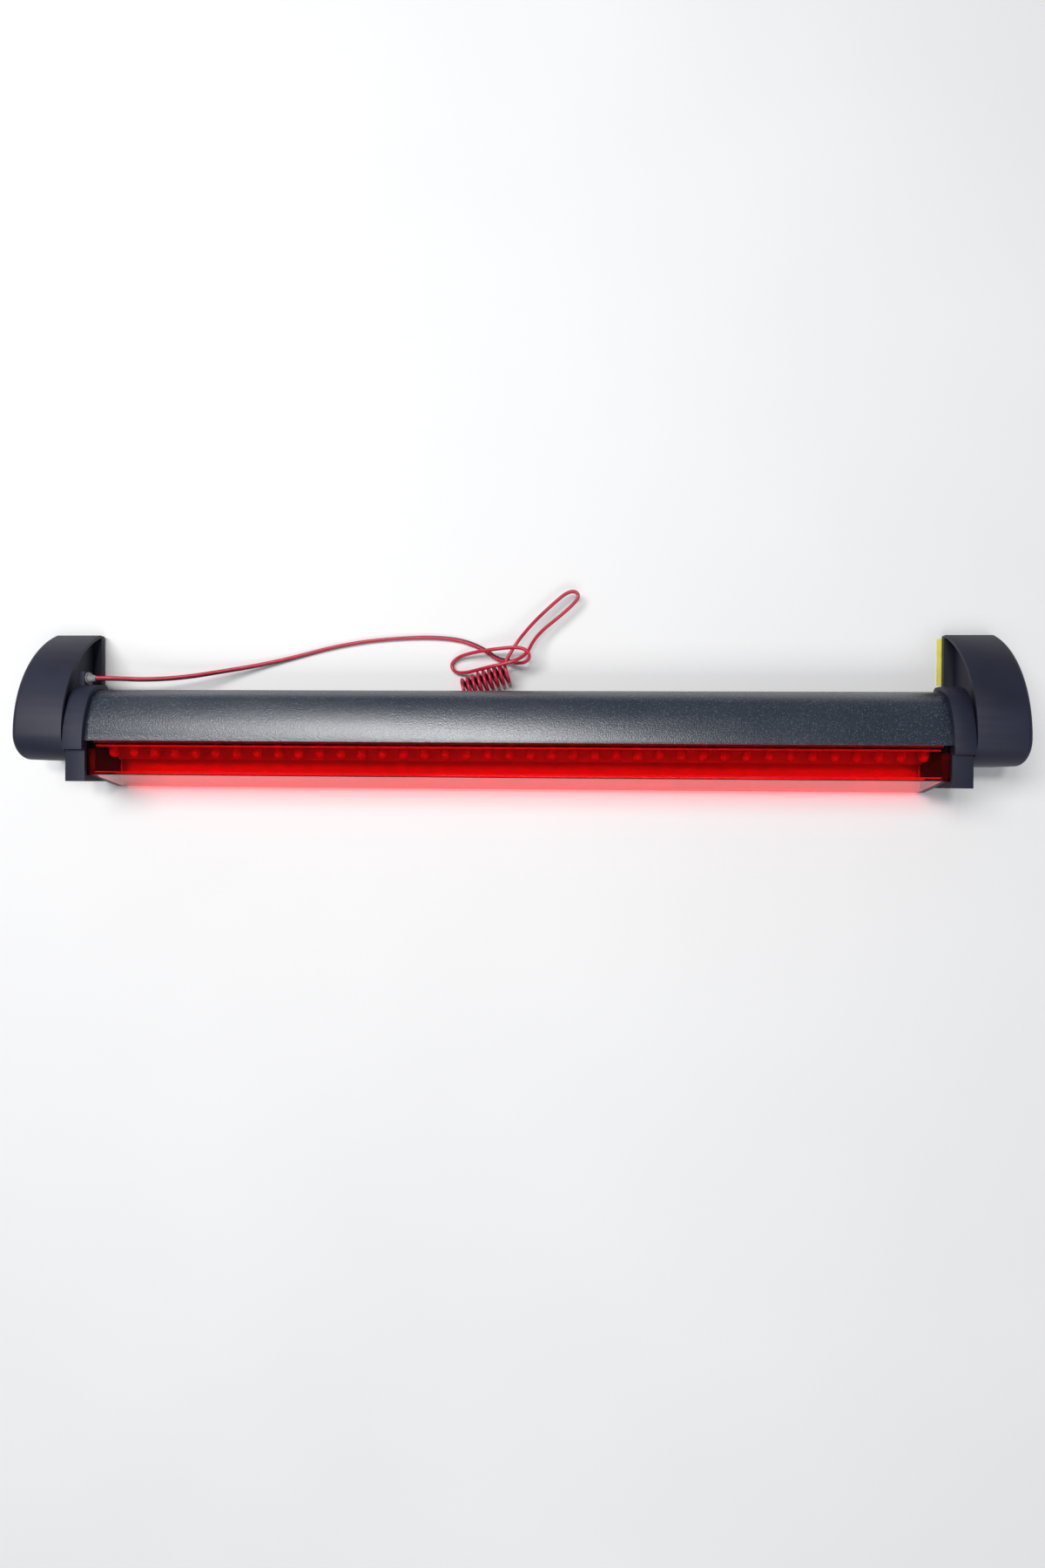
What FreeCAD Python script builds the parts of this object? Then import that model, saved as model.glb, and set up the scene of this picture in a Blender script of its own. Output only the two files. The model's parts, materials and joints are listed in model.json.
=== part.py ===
import FreeCAD, Part
import math
import os

# Third brake light: a long lamp bar between two swivelling feet.
# Millimetres. X runs along the bar, -Y is the side the lens faces, Z is up from the faces of the feet.

# ---- driving dimensions ----
OVERALL_LENGTH = 481.6
FOOT_WIDTH = 25.4
CAP_WIDTH = 9.6
SWIVEL_GAP = 0.4            # play between a foot and its end cap
SOCKET_DEPTH = 3.0          # how far the bar enters an end cap
GASKET_T = 1.0
GASKET_W = 2.0
FIT = 0.15                  # clearance round pieces that slide together
SEAT = 0.05                 # clearance under pieces that rest on each other

# bar section
LENS_FRONT = -34.9          # front edge of the lens's top
LENS_FOOT = -40.4           # front edge of the lens's floor, so its face leans out
LENS_FLOOR_BACK = -24.0     # joint of the lens's floor and the tray's
LENS_WALL = 2.0
LENS_EDGE_R = 1.4
LENS_TUCK = 2.2             # depth of the lens under the hood
HOOD_FRONT = -18.3
HOOD_CREST_Y = -20.0
HOOD_CREST_Z = 36.8
HOOD_WALL = 2.4
HOOD_R = 46.0               # broad top
HOOD_SHOULDER_R = 12.0      # rounded back
HOOD_BACK = 8.0
BAR_BOTTOM = 6.0
SEAM_Z = 18.0               # joint of hood and tray
CHAMFER_Y = -3.0            # where the tray's sloping back meets its floor
TRAY_WALL = 2.0
TONGUE_T = 1.2
TONGUE_H = 3.0
LAP_T = 1.2                 # lip of the tray over the lens's floor
LAP_L = 2.5

# end cap section
CAP_PROUD = 2.4
CAP_FRONT = -38.0
CAP_STEP_DROP = 2.8
CAP_STEP_Y = -22.5
BLOCK_REACH = 3.0           # end block seen through the lens, beyond the end cap
BLOCK_GAP = 1.2

# lamp insides
BOARD_T = 1.6
BOARD_FRONT = -19.0
BOARD_BOTTOM = 10.0
BOARD_TOP = 31.4
BOARD_END_GAP = 4.0
LED_PITCH = 10.45
LED_R = 2.5
LED_RIM = 0.4
LED_FLANGE_T = 1.0
LED_BODY = 4.4
LED_Z = 21.0
LED_END_MARGIN = 1.0
REFLECTOR_T = 0.8
REFLECTOR_HOLE_GAP = 0.3
RESISTOR_R = 1.2
RESISTOR_L = 6.3
RESISTOR_LEAD_R = 0.3
LEDS_PER_STRING = 3
SOLDER_R = 0.8
LED_LEG_SPACING = 2.54
DIODE_FROM_END = 40.0
CLIP_L = 8.0
CLIP_COUNT = 5
CLIP_WALL = 1.4
CLIP_H = 5.0

# swivel
PIVOT_Y = -12.0
PIVOT_Z = 21.0
INSERT_R = 3.5
INSERT_L = 5.8
THREAD_R = 1.9
THREAD_GAP = 0.05
SHOULDER_R = 2.5
RUNNING_GAP = 0.06
WASHER_R = 6.0
WASHER_T = 0.8
WAVE_R = 4.6
WAVE_T = 0.6
WASHER_PLAY = 0.3
HEAD_R = 4.0
HEAD_T = 3.0
HEX_SIZE = 3.0
HEX_DEPTH = 1.8

# foot
FOOT_BACK = 38.0
FOOT_FRONT = -27.5
FOOT_TOP = 39.5
FOOT_NOSE_R = 12.5
FOOT_TOE_R = 4.0
FOOT_HEEL = 4.0
FOOT_WALL = 2.2
FOOT_SIDE_WALL = 7.0        # from the inner rim to the hollow behind the recess
FOOT_OUTER_R = 3.0
FOOT_LIP = 1.4              # rim round the recessed inner side
FOOT_LIP_DEPTH = 4.6
FOOT_RECESS_BASE = 2.4      # solid edge left under the recess
PIVOT_BOSS_R = 9.0
LINER_T = 0.15
FOAM_T = 1.05
PLATE_T = 2.0
FOAM_INSET = 1.0
LINER_OVERHANG = 2.0        # pull tab of the right liner, towards the bar
LINER_TAB_FRONT = 13.5      # the tab stays behind the end cap's sweep
PLUG_R = 5.5
PLUG_T = 1.6
PLATE_SCREW_R = 1.4
PLATE_SCREW_HEAD_R = 2.6
PLATE_SCREW_HEAD_T = 1.0
PLATE_SCREW_L = 8.0
POST_R = 3.2
PLATE_SCREW_Y = (-21.5, 24.0)

# fasteners of the end caps
CAP_SCREW_R = 1.4
CAP_SCREW_HEAD_R = 2.7
CAP_SCREW_HEAD_T = 1.8
CAP_SCREW_L = 14.0
CAP_SCREWS = ((-4.0, 27.0), (-9.0, 12.0))
SCREW_POST_L = 12.0

# lead
LEAD_D = 2.4
OUTLET_Y = 13.6
OUTLET_Z = 22.0
OUTLET_L = 3.0
OUTLET_HALF = 3.6
GROMMET_FLANGE_R = 3.0
GROMMET_FLANGE_T = 0.7
GROMMET_TAPER = 3.4
GROMMET_PLUG_R = 2.2
GROMMET_PLUG_L = 2.0
WIRE_R = 0.6
DUCT_R = 1.2
DUCT_Y = 2.0                # where the wires pass from the bar into the end cap
INNER_LEAD_SPREAD = 4.0
WRAP_R = 6.1                # outer radius of the turns round the hank
WRAP_FROM = (2.5, 20.7, 6.2)
WRAP_TO = (-26.5, 9.0, 6.2)
WRAP_EDGE_R = 1.5

# ---- derived places along X, for the right end ----
OUTER_X = OVERALL_LENGTH / 2
FOOT_X = OUTER_X - FOOT_WIDTH
CAP_X = FOOT_X - SWIVEL_GAP
CAP_IN_X = CAP_X - CAP_WIDTH
CAP_FLOOR_X = CAP_IN_X + SOCKET_DEPTH
BAR_END_X = CAP_FLOOR_X - GASKET_T
BOARD_HALF = BAR_END_X - BOARD_END_GAP
BAY_HALF = CAP_IN_X - BLOCK_REACH - FIT     # half the clear length between the end blocks

# ---- derived heights and places in the section ----
RIM_Z = LINER_T + FOAM_T
CREST_C = (HOOD_CREST_Y, HOOD_CREST_Z - HOOD_R)
SHOULDER_Y = HOOD_BACK - HOOD_SHOULDER_R
SHOULDER_Z = CREST_C[1] + math.sqrt((HOOD_R - HOOD_SHOULDER_R) ** 2 - (SHOULDER_Y - CREST_C[0]) ** 2)
TRAY_FLOOR = BAR_BOTTOM + TRAY_WALL
# The section is drawn about its own datum, and every piece moves by this, so that Y = 0 is the middle.
CENTRING = -(FOOT_BACK + LENS_FOOT) / 2
TUCK_Y = HOOD_FRONT + LENS_TUCK - HOOD_CREST_Y
LENS_TOP = CREST_C[1] + math.sqrt((HOOD_R - HOOD_WALL) ** 2 - TUCK_Y ** 2) - FIT

os.makedirs("parts", exist_ok=True)
NODES = {}


def vec(x, y, z):
    return FreeCAD.Vector(x, y, z)


def yz(p, x=0.0):
    return vec(x, p[0], p[1])


def line(a, b):
    return Part.LineSegment(a, b).toShape()


def arc(a, m, b):
    return Part.Arc(a, m, b).toShape()


def prism(edges, x0, x1):
    """A section drawn at X = 0 and pushed from x0 to x1."""
    face = Part.Face(Part.Wire(edges))
    face.translate(vec(min(x0, x1), 0, 0))
    return face.extrude(vec(abs(x1 - x0), 0, 0))


def polygon(points):
    closed = list(points) + [points[0]]
    return [line(yz(a), yz(b)) for a, b in zip(closed, closed[1:])]


def block(x0, x1, y0, y1, z0, z1):
    return Part.makeBox(abs(x1 - x0), y1 - y0, z1 - z0, vec(min(x0, x1), y0, z0))


def rod_x(radius, x0, x1, y, z):
    return Part.makeCylinder(radius, abs(x1 - x0), vec(min(x0, x1), y, z), vec(1, 0, 0))


def rod_z(radius, z0, z1, x, y):
    return Part.makeCylinder(radius, z1 - z0, vec(x, y, z0), vec(0, 0, 1))


def mirrored(shape, side):
    """side +1 keeps a right-hand piece, and -1 mirrors it to the left end."""
    return shape if side > 0 else shape.mirror(vec(0, 0, 0), vec(1, 0, 0))


def save(name, shape):
    placed = shape.copy()
    placed.translate(vec(0, CENTRING, 0))
    NODES[name] = placed
    placed.exportStep("parts/" + name + ".step")


def on_circle(centre, radius, angle):
    return (centre[0] + radius * math.cos(angle), centre[1] + radius * math.sin(angle))


def angle_of(centre, point):
    return math.atan2(point[1] - centre[1], point[0] - centre[0])


def hood_curve(grow, from_y):
    """Edges of the hood's outside, moved out by grow, from from_y over the top to the back's vertical."""
    broad = HOOD_R + grow
    shoulder = HOOD_SHOULDER_R + grow
    centre = (SHOULDER_Y, SHOULDER_Z)
    start_z = CREST_C[1] + math.sqrt(broad ** 2 - (from_y - CREST_C[0]) ** 2)
    start = (from_y, start_z)
    turn = angle_of(CREST_C, centre)
    mid_1 = on_circle(CREST_C, broad, (angle_of(CREST_C, start) + turn) / 2)
    join = on_circle(CREST_C, broad, turn)
    mid_2 = on_circle(centre, shoulder, turn / 2)
    end = (SHOULDER_Y + shoulder, SHOULDER_Z)
    edges = [arc(yz(start), yz(mid_1), yz(join)), arc(yz(join), yz(mid_2), yz(end))]
    return start, end, edges


def slope_points(grow):
    """The tray's sloping back, moved out by grow: its top on the vertical back and its foot on the floor."""
    rise = SEAM_Z - BAR_BOTTOM
    run = HOOD_BACK - CHAMFER_Y
    length = math.hypot(rise, run)
    normal = (rise / length, -run / length)
    through = (HOOD_BACK + normal[0] * grow, SEAM_Z + normal[1] * grow)
    top_y = HOOD_BACK + grow
    top = (top_y, through[1] + (top_y - through[0]) * rise / run)
    foot_z = BAR_BOTTOM - grow
    foot = (through[0] + (foot_z - through[1]) * run / rise, foot_z)
    return top, foot


def bar_outline(grow):
    """The closed outline of hood, lens and tray together, moved out by grow."""
    front = LENS_FRONT - grow
    step = HOOD_FRONT - grow
    start, end, curve = hood_curve(grow, step)
    top, foot = slope_points(grow)
    corner = (front, LENS_TOP + grow)
    edges = [line(yz(foot), yz((front, foot[1]))), line(yz((front, foot[1])), yz(corner))]
    edges += [line(yz(corner), yz((step, corner[1]))), line(yz((step, corner[1])), yz(start))]
    edges += curve + [line(yz(end), yz(top)), line(yz(top), yz(foot))]
    return edges


def cap_outline():
    start, end, curve = hood_curve(CAP_PROUD, CAP_STEP_Y)
    top, foot = slope_points(CAP_PROUD)
    ledge = start[1] - CAP_STEP_DROP
    corner = (CAP_FRONT, ledge)
    edges = [line(yz(foot), yz((CAP_FRONT, foot[1]))), line(yz((CAP_FRONT, foot[1])), yz(corner))]
    edges += [line(yz(corner), yz((CAP_STEP_Y, ledge))), line(yz((CAP_STEP_Y, ledge)), yz(start))]
    edges += curve + [line(yz(end), yz(top)), line(yz(top), yz(foot))]
    return edges


# ---- lamp ----
def make_hood():
    start, end, outer = hood_curve(0.0, HOOD_FRONT)
    in_start, in_end, inner = hood_curve(-HOOD_WALL, HOOD_FRONT)
    base = yz((end[0], SEAM_Z))
    in_base = yz((in_end[0], SEAM_Z))
    edges = outer + [line(yz(end), base), line(base, in_base), line(in_base, yz(in_end))]
    edges += [e.reversed() for e in reversed(inner)] + [line(yz(in_start), yz(start))]
    shell = prism(edges, -BAR_END_X, BAR_END_X)
    post_y, post_z = CAP_SCREWS[0]
    for side in (1, -1):
        x_in = side * (BAR_END_X - SCREW_POST_L)
        web = block(side * BAR_END_X, x_in, post_y - 1.0, post_y + 1.0, post_z, post_z + 3.5)
        post = rod_x(POST_R, side * BAR_END_X, x_in, post_y, post_z)
        bore = rod_x(CAP_SCREW_R, side * BAR_END_X, x_in, post_y, post_z)
        shell = shell.fuse(post.fuse(web)).cut(bore)
    save("hood", shell)


def make_tray():
    top, foot = slope_points(0.0)
    in_top, in_foot = slope_points(-TRAY_WALL)
    lean = (in_top[0] - in_foot[0]) / (in_top[1] - in_foot[1])
    in_seam = (in_foot[0] + (SEAM_Z - in_foot[1]) * lean, SEAM_Z)
    lap_y = LENS_FLOOR_BACK - LAP_L
    outline = [(LENS_FLOOR_BACK, BAR_BOTTOM), foot, top, in_seam, in_foot]
    outline += [(LENS_FLOOR_BACK + LAP_T, TRAY_FLOOR), (LENS_FLOOR_BACK + LAP_T, TRAY_FLOOR + SEAT + LAP_T)]
    outline += [(lap_y, TRAY_FLOOR + SEAT + LAP_T), (lap_y, TRAY_FLOOR + SEAT)]
    outline += [(LENS_FLOOR_BACK, TRAY_FLOOR + SEAT)]
    tray = prism(polygon(outline), -BAR_END_X, BAR_END_X)
    tongue_y = HOOD_BACK - HOOD_WALL - FIT
    tongue_x = BAR_END_X - FIT
    tongue = block(-tongue_x, tongue_x, tongue_y - TONGUE_T, tongue_y, SEAM_Z - 1.0, SEAM_Z + TONGUE_H)
    tray = tray.fuse(tongue)
    post_y, post_z = CAP_SCREWS[1]
    for side in (1, -1):
        x_in = side * (BAR_END_X - SCREW_POST_L)
        post = rod_x(POST_R, side * BAR_END_X, x_in, post_y, post_z)
        web = block(side * BAR_END_X, x_in, post_y - 1.0, post_y + 1.0, TRAY_FLOOR - 0.5, post_z)
        bore = rod_x(CAP_SCREW_R, side * BAR_END_X, x_in, post_y, post_z)
        tray = tray.fuse(post.fuse(web)).cut(bore)
    save("rear_tray", tray)


def lens_slope(inset, z):
    """Where the lens's leaning face, moved in by inset, is at height z."""
    rise = LENS_TOP - LENS_EDGE_R - BAR_BOTTOM
    run = LENS_FRONT - LENS_FOOT
    return LENS_FOOT + (z - BAR_BOTTOM) * run / rise + inset * math.hypot(rise, run) / rise


def make_lens():
    """A clear channel: its top runs into both end caps, its face and floor end at the end blocks."""
    back = HOOD_FRONT + LENS_TUCK
    inner_top = LENS_TOP - LENS_WALL
    floor_top = BAR_BOTTOM + LENS_WALL
    front = LENS_FRONT
    r = LENS_EDGE_R
    inset = r * (1 - math.sqrt(0.5))
    joint_z = LENS_TOP - r
    edges = [line(yz((back, LENS_TOP)), yz((front + r, LENS_TOP)))]
    edges += [arc(yz((front + r, LENS_TOP)), yz((front + inset, LENS_TOP - inset)), yz((front, joint_z)))]
    edges += [line(yz((front, joint_z)), yz((front, inner_top)))]
    edges += [line(yz((front, inner_top)), yz((back, inner_top)))]
    edges += [line(yz((back, inner_top)), yz((back, LENS_TOP)))]
    top = prism(edges, -BAR_END_X, BAR_END_X)
    face = [(front, joint_z), (LENS_FOOT, BAR_BOTTOM), (LENS_FLOOR_BACK, BAR_BOTTOM)]
    face += [(LENS_FLOOR_BACK, floor_top), (lens_slope(LENS_WALL, floor_top), floor_top)]
    face += [(lens_slope(LENS_WALL, joint_z), joint_z)]
    save("lens", top.fuse(prism(polygon(face), -BAY_HALF, BAY_HALF)))


def led_places():
    reach = BAY_HALF - LED_R - LED_END_MARGIN
    count = int(reach // LED_PITCH)
    return [LED_PITCH * i for i in range(-count, count + 1)]


def make_board():
    back = BOARD_FRONT + BOARD_T
    save("led_board", block(-BOARD_HALF, BOARD_HALF, BOARD_FRONT, back, BOARD_BOTTOM, BOARD_TOP))
    leds = []
    solder = []
    for x in led_places():
        spot = vec(x, BOARD_FRONT, LED_Z)
        flange = Part.makeCylinder(LED_R + LED_RIM, LED_FLANGE_T, spot, vec(0, -1, 0))
        body = Part.makeCylinder(LED_R, LED_BODY, spot, vec(0, -1, 0))
        dome = Part.makeSphere(LED_R, vec(x, BOARD_FRONT - LED_BODY, LED_Z))
        leds.append(flange.fuse(body).fuse(dome))
        for leg in (-0.5, 0.5):
            foot = vec(x + leg * LED_LEG_SPACING, back, LED_Z)
            solder.append(Part.makeCone(SOLDER_R, SOLDER_R / 3, SOLDER_R, foot, vec(0, 1, 0)))
    save("led_domes", Part.makeCompound(leds))
    save("solder_joints", Part.makeCompound(solder))
    resistors = []
    for x in led_places()[::LEDS_PER_STRING]:
        resistors.append(component(x, LED_Z + 5.0, RESISTOR_L))
    save("series_resistors", Part.makeCompound(resistors))
    save("polarity_diode", component(-BOARD_HALF + DIODE_FROM_END, LED_Z - 4.0, RESISTOR_L - 1.0))


def component(x, z, length):
    """A small axial component lying on the board's back, with its two legs bent into the board."""
    back = BOARD_FRONT + BOARD_T
    y = back + RESISTOR_R + SEAT
    body = rod_x(RESISTOR_R, x - length / 2, x + length / 2, y, z)
    reach = length / 2 + 1.0
    legs = rod_x(RESISTOR_LEAD_R, x - reach, x + reach, y, z)
    for side in (-1, 1):
        pin = Part.makeCylinder(RESISTOR_LEAD_R, y - back, vec(x + side * reach, back, z), vec(0, 1, 0))
        legs = legs.fuse(pin)
    return body.fuse(legs)


def make_reflector():
    y = BOARD_FRONT - LED_FLANGE_T - SEAT
    t = REFLECTOR_T
    low = TRAY_FLOOR + LAP_T + 2 * FIT
    lip_y = LENS_FLOOR_BACK - LAP_L
    points = [(y, BOARD_TOP), (y, BOARD_BOTTOM + 2.0), (lip_y, low)]
    points += [(lip_y, low + t), (y - t, BOARD_BOTTOM + 2.0 + t), (y - t, BOARD_TOP)]
    strip = prism(polygon(points), -BAY_HALF, BAY_HALF)
    holes = []
    for x in led_places():
        hole = Part.makeCylinder(LED_R + REFLECTOR_HOLE_GAP, 3 * t, vec(x, y + t, LED_Z), vec(0, -1, 0))
        holes.append(hole)
    save("reflector_strip", strip.cut(Part.makeCompound(holes)))


def make_clips():
    back = BOARD_FRONT + BOARD_T
    low = BOARD_FRONT - FIT
    high = back + FIT
    spread = 2 * (BOARD_HALF - 20.0) / (CLIP_COUNT - 1)
    clips = []
    for i in range(CLIP_COUNT):
        x = -BOARD_HALF + 20.0 + i * spread
        base = block(x - CLIP_L / 2, x + CLIP_L / 2, low - 0.6, high + CLIP_WALL, TRAY_FLOOR, BOARD_BOTTOM)
        wall_top = BOARD_BOTTOM + CLIP_H
        wall = block(x - CLIP_L / 2, x + CLIP_L / 2, high, high + CLIP_WALL, TRAY_FLOOR, wall_top)
        clips.append(base.fuse(wall))
    save("board_clips", Part.makeCompound(clips))


# ---- the two ends ----
def make_end(side, name):
    outside = prism(cap_outline(), CAP_IN_X, CAP_X)
    socket = prism(bar_outline(FIT), CAP_IN_X, CAP_FLOOR_X)
    cap = outside.cut(socket)
    block_back = BOARD_FRONT - LED_FLANGE_T - BLOCK_GAP - REFLECTOR_T
    block_top = LENS_TOP - LENS_WALL - FIT
    lap_top = TRAY_FLOOR + SEAT + LAP_T + FIT
    lap_y = LENS_FLOOR_BACK - LAP_L - FIT
    outline = [(lens_slope(0.0, block_top), block_top), (LENS_FOOT, BAR_BOTTOM), (lap_y, BAR_BOTTOM)]
    outline += [(lap_y, lap_top), (block_back, lap_top), (block_back, block_top)]
    end_block = prism(polygon(outline), CAP_IN_X - BLOCK_REACH, CAP_IN_X)
    stem = block(CAP_IN_X, CAP_FLOOR_X, LENS_FRONT + LENS_WALL, block_back, lap_top, block_top)
    cap = cap.fuse(end_block).fuse(stem)
    cap = cap.cut(rod_x(INSERT_R, CAP_X - INSERT_L, CAP_X, PIVOT_Y, PIVOT_Z))
    screws = []
    for y, z in CAP_SCREWS:
        cap = cap.cut(rod_x(CAP_SCREW_R + FIT, CAP_FLOOR_X, CAP_X, y, z))
        cap = cap.cut(rod_x(CAP_SCREW_HEAD_R + FIT, CAP_X - CAP_SCREW_HEAD_T - SEAT, CAP_X, y, z))
        head = rod_x(CAP_SCREW_HEAD_R, CAP_X - CAP_SCREW_HEAD_T, CAP_X, y, z)
        head = head.cut(block(CAP_X - 0.8, CAP_X, y - 2.0, y + 2.0, z - 0.3, z + 0.3))
        head = head.cut(block(CAP_X - 0.8, CAP_X, y - 0.3, y + 0.3, z - 2.0, z + 2.0))
        screws.append(head.fuse(rod_x(CAP_SCREW_R - SEAT, CAP_X - CAP_SCREW_L, CAP_X - 0.9, y, z)))
    if side < 0:
        cap = with_outlet(cap)
    save(name + "_end_cap", mirrored(cap, side))
    save(name + "_cap_screws", mirrored(Part.makeCompound(screws), side))
    gasket = prism(bar_outline(-SEAT), BAR_END_X, CAP_FLOOR_X)
    gasket = gasket.cut(prism(bar_outline(-GASKET_W), BAR_END_X, CAP_FLOOR_X))
    save(name + "_end_gasket", mirrored(gasket, side))
    insert = rod_x(INSERT_R, CAP_X - INSERT_L, CAP_X, PIVOT_Y, PIVOT_Z)
    insert = insert.cut(rod_x(THREAD_R + THREAD_GAP, CAP_X - INSERT_L, CAP_X, PIVOT_Y, PIVOT_Z))
    save(name + "_pivot_insert", mirrored(insert, side))


def with_outlet(cap):
    """Adds the cable outlet on the cap's back. The cap is the right-hand one here, and is mirrored later."""
    tip_x = CAP_X - OUTLET_L
    low = OUTLET_Z - OUTLET_HALF
    high = OUTLET_Z + OUTLET_HALF
    inner_y = HOOD_BACK - HOOD_WALL
    cap = cap.fuse(block(tip_x, CAP_X, inner_y, OUTLET_Y + OUTLET_HALF - 0.6, low, high))
    grommet_bore = rod_x(GROMMET_PLUG_R, tip_x, tip_x + GROMMET_PLUG_L + SEAT, OUTLET_Y, OUTLET_Z)
    duct_x = tip_x + OUTLET_L / 2
    duct_start = DUCT_Y - DUCT_R / 2
    duct = Part.makeCylinder(DUCT_R, OUTLET_Y - duct_start, vec(duct_x, duct_start, OUTLET_Z), vec(0, 1, 0))
    entry = rod_x(DUCT_R, CAP_FLOOR_X, duct_x, DUCT_Y, OUTLET_Z)
    return cap.cut(grommet_bore).cut(duct).cut(entry)


def make_pivot(side, name):
    wall_x = FOOT_X + FOOT_SIDE_WALL
    washer_x = wall_x + WASHER_T
    wave_x = washer_x + WASHER_PLAY
    head_x = wave_x + WAVE_T
    screw = rod_x(THREAD_R, CAP_X - INSERT_L + 0.4, CAP_X, PIVOT_Y, PIVOT_Z)
    screw = screw.fuse(rod_x(SHOULDER_R, CAP_X, head_x, PIVOT_Y, PIVOT_Z))
    screw = screw.fuse(rod_x(HEAD_R, head_x, head_x + HEAD_T, PIVOT_Y, PIVOT_Z))
    hexagon = []
    for i in range(6):
        hexagon.append(on_circle((PIVOT_Y, PIVOT_Z), HEX_SIZE / math.sqrt(3), math.radians(60 * i)))
    screw = screw.cut(prism(polygon(hexagon), head_x + HEAD_T - HEX_DEPTH, head_x + HEAD_T))
    save(name + "_pivot_screw", mirrored(screw, side))
    hole = rod_x(SHOULDER_R + RUNNING_GAP, wall_x, head_x, PIVOT_Y, PIVOT_Z)
    washer = rod_x(WASHER_R, wall_x, washer_x, PIVOT_Y, PIVOT_Z).cut(hole)
    save(name + "_pivot_washer", mirrored(washer, side))
    wave = rod_x(WAVE_R, wave_x, head_x, PIVOT_Y, PIVOT_Z).cut(hole)
    save(name + "_wave_washer", mirrored(wave, side))


def foot_outline(inset, base_z):
    """Side outline of a foot, drawn inwards by inset above base_z."""
    back = FOOT_BACK - inset
    top = FOOT_TOP - inset
    nose = FOOT_NOSE_R - inset
    front = FOOT_FRONT + inset
    crest_y = FOOT_FRONT + FOOT_NOSE_R
    heel = RIM_Z + FOOT_HEEL
    reach = FOOT_BACK - crest_y
    drop = FOOT_TOP - heel
    radius = (reach ** 2 + drop ** 2) / (2 * drop) - inset
    centre = (crest_y, top - radius)
    end_y = crest_y + math.sqrt(radius ** 2 - (max(heel, base_z) - centre[1]) ** 2)
    end = (end_y, max(heel, base_z))
    mid = on_circle(centre, radius, (math.pi / 2 + angle_of(centre, end)) / 2)
    crest = (crest_y, top)
    nose_c = (crest_y, top - nose)
    nose_mid = on_circle(nose_c, nose, math.radians(135))
    nose_end = (front, nose_c[1])
    base_front = (front, base_z)
    edges = [arc(yz(end), yz(mid), yz(crest)), arc(yz(crest), yz(nose_mid), yz(nose_end))]
    if inset == 0.0:
        toe = FOOT_TOE_R
        toe_c = (front + toe, base_z + toe)
        toe_mid = on_circle(toe_c, toe, math.radians(225))
        toe_end = (front + toe, base_z)
        edges += [line(yz(nose_end), yz((front, base_z + toe)))]
        edges += [arc(yz((front, base_z + toe)), yz(toe_mid), yz(toe_end))]
        edges += [line(yz(toe_end), yz((back, base_z))), line(yz((back, base_z)), yz(end))]
    else:
        edges += [line(yz(nose_end), yz(base_front))]
        last = (end_y, base_z)
        edges += [line(yz(base_front), yz(last))]
        if math.dist(last, end) > 1e-6:
            edges += [line(yz(last), yz(end))]
    return edges


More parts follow.
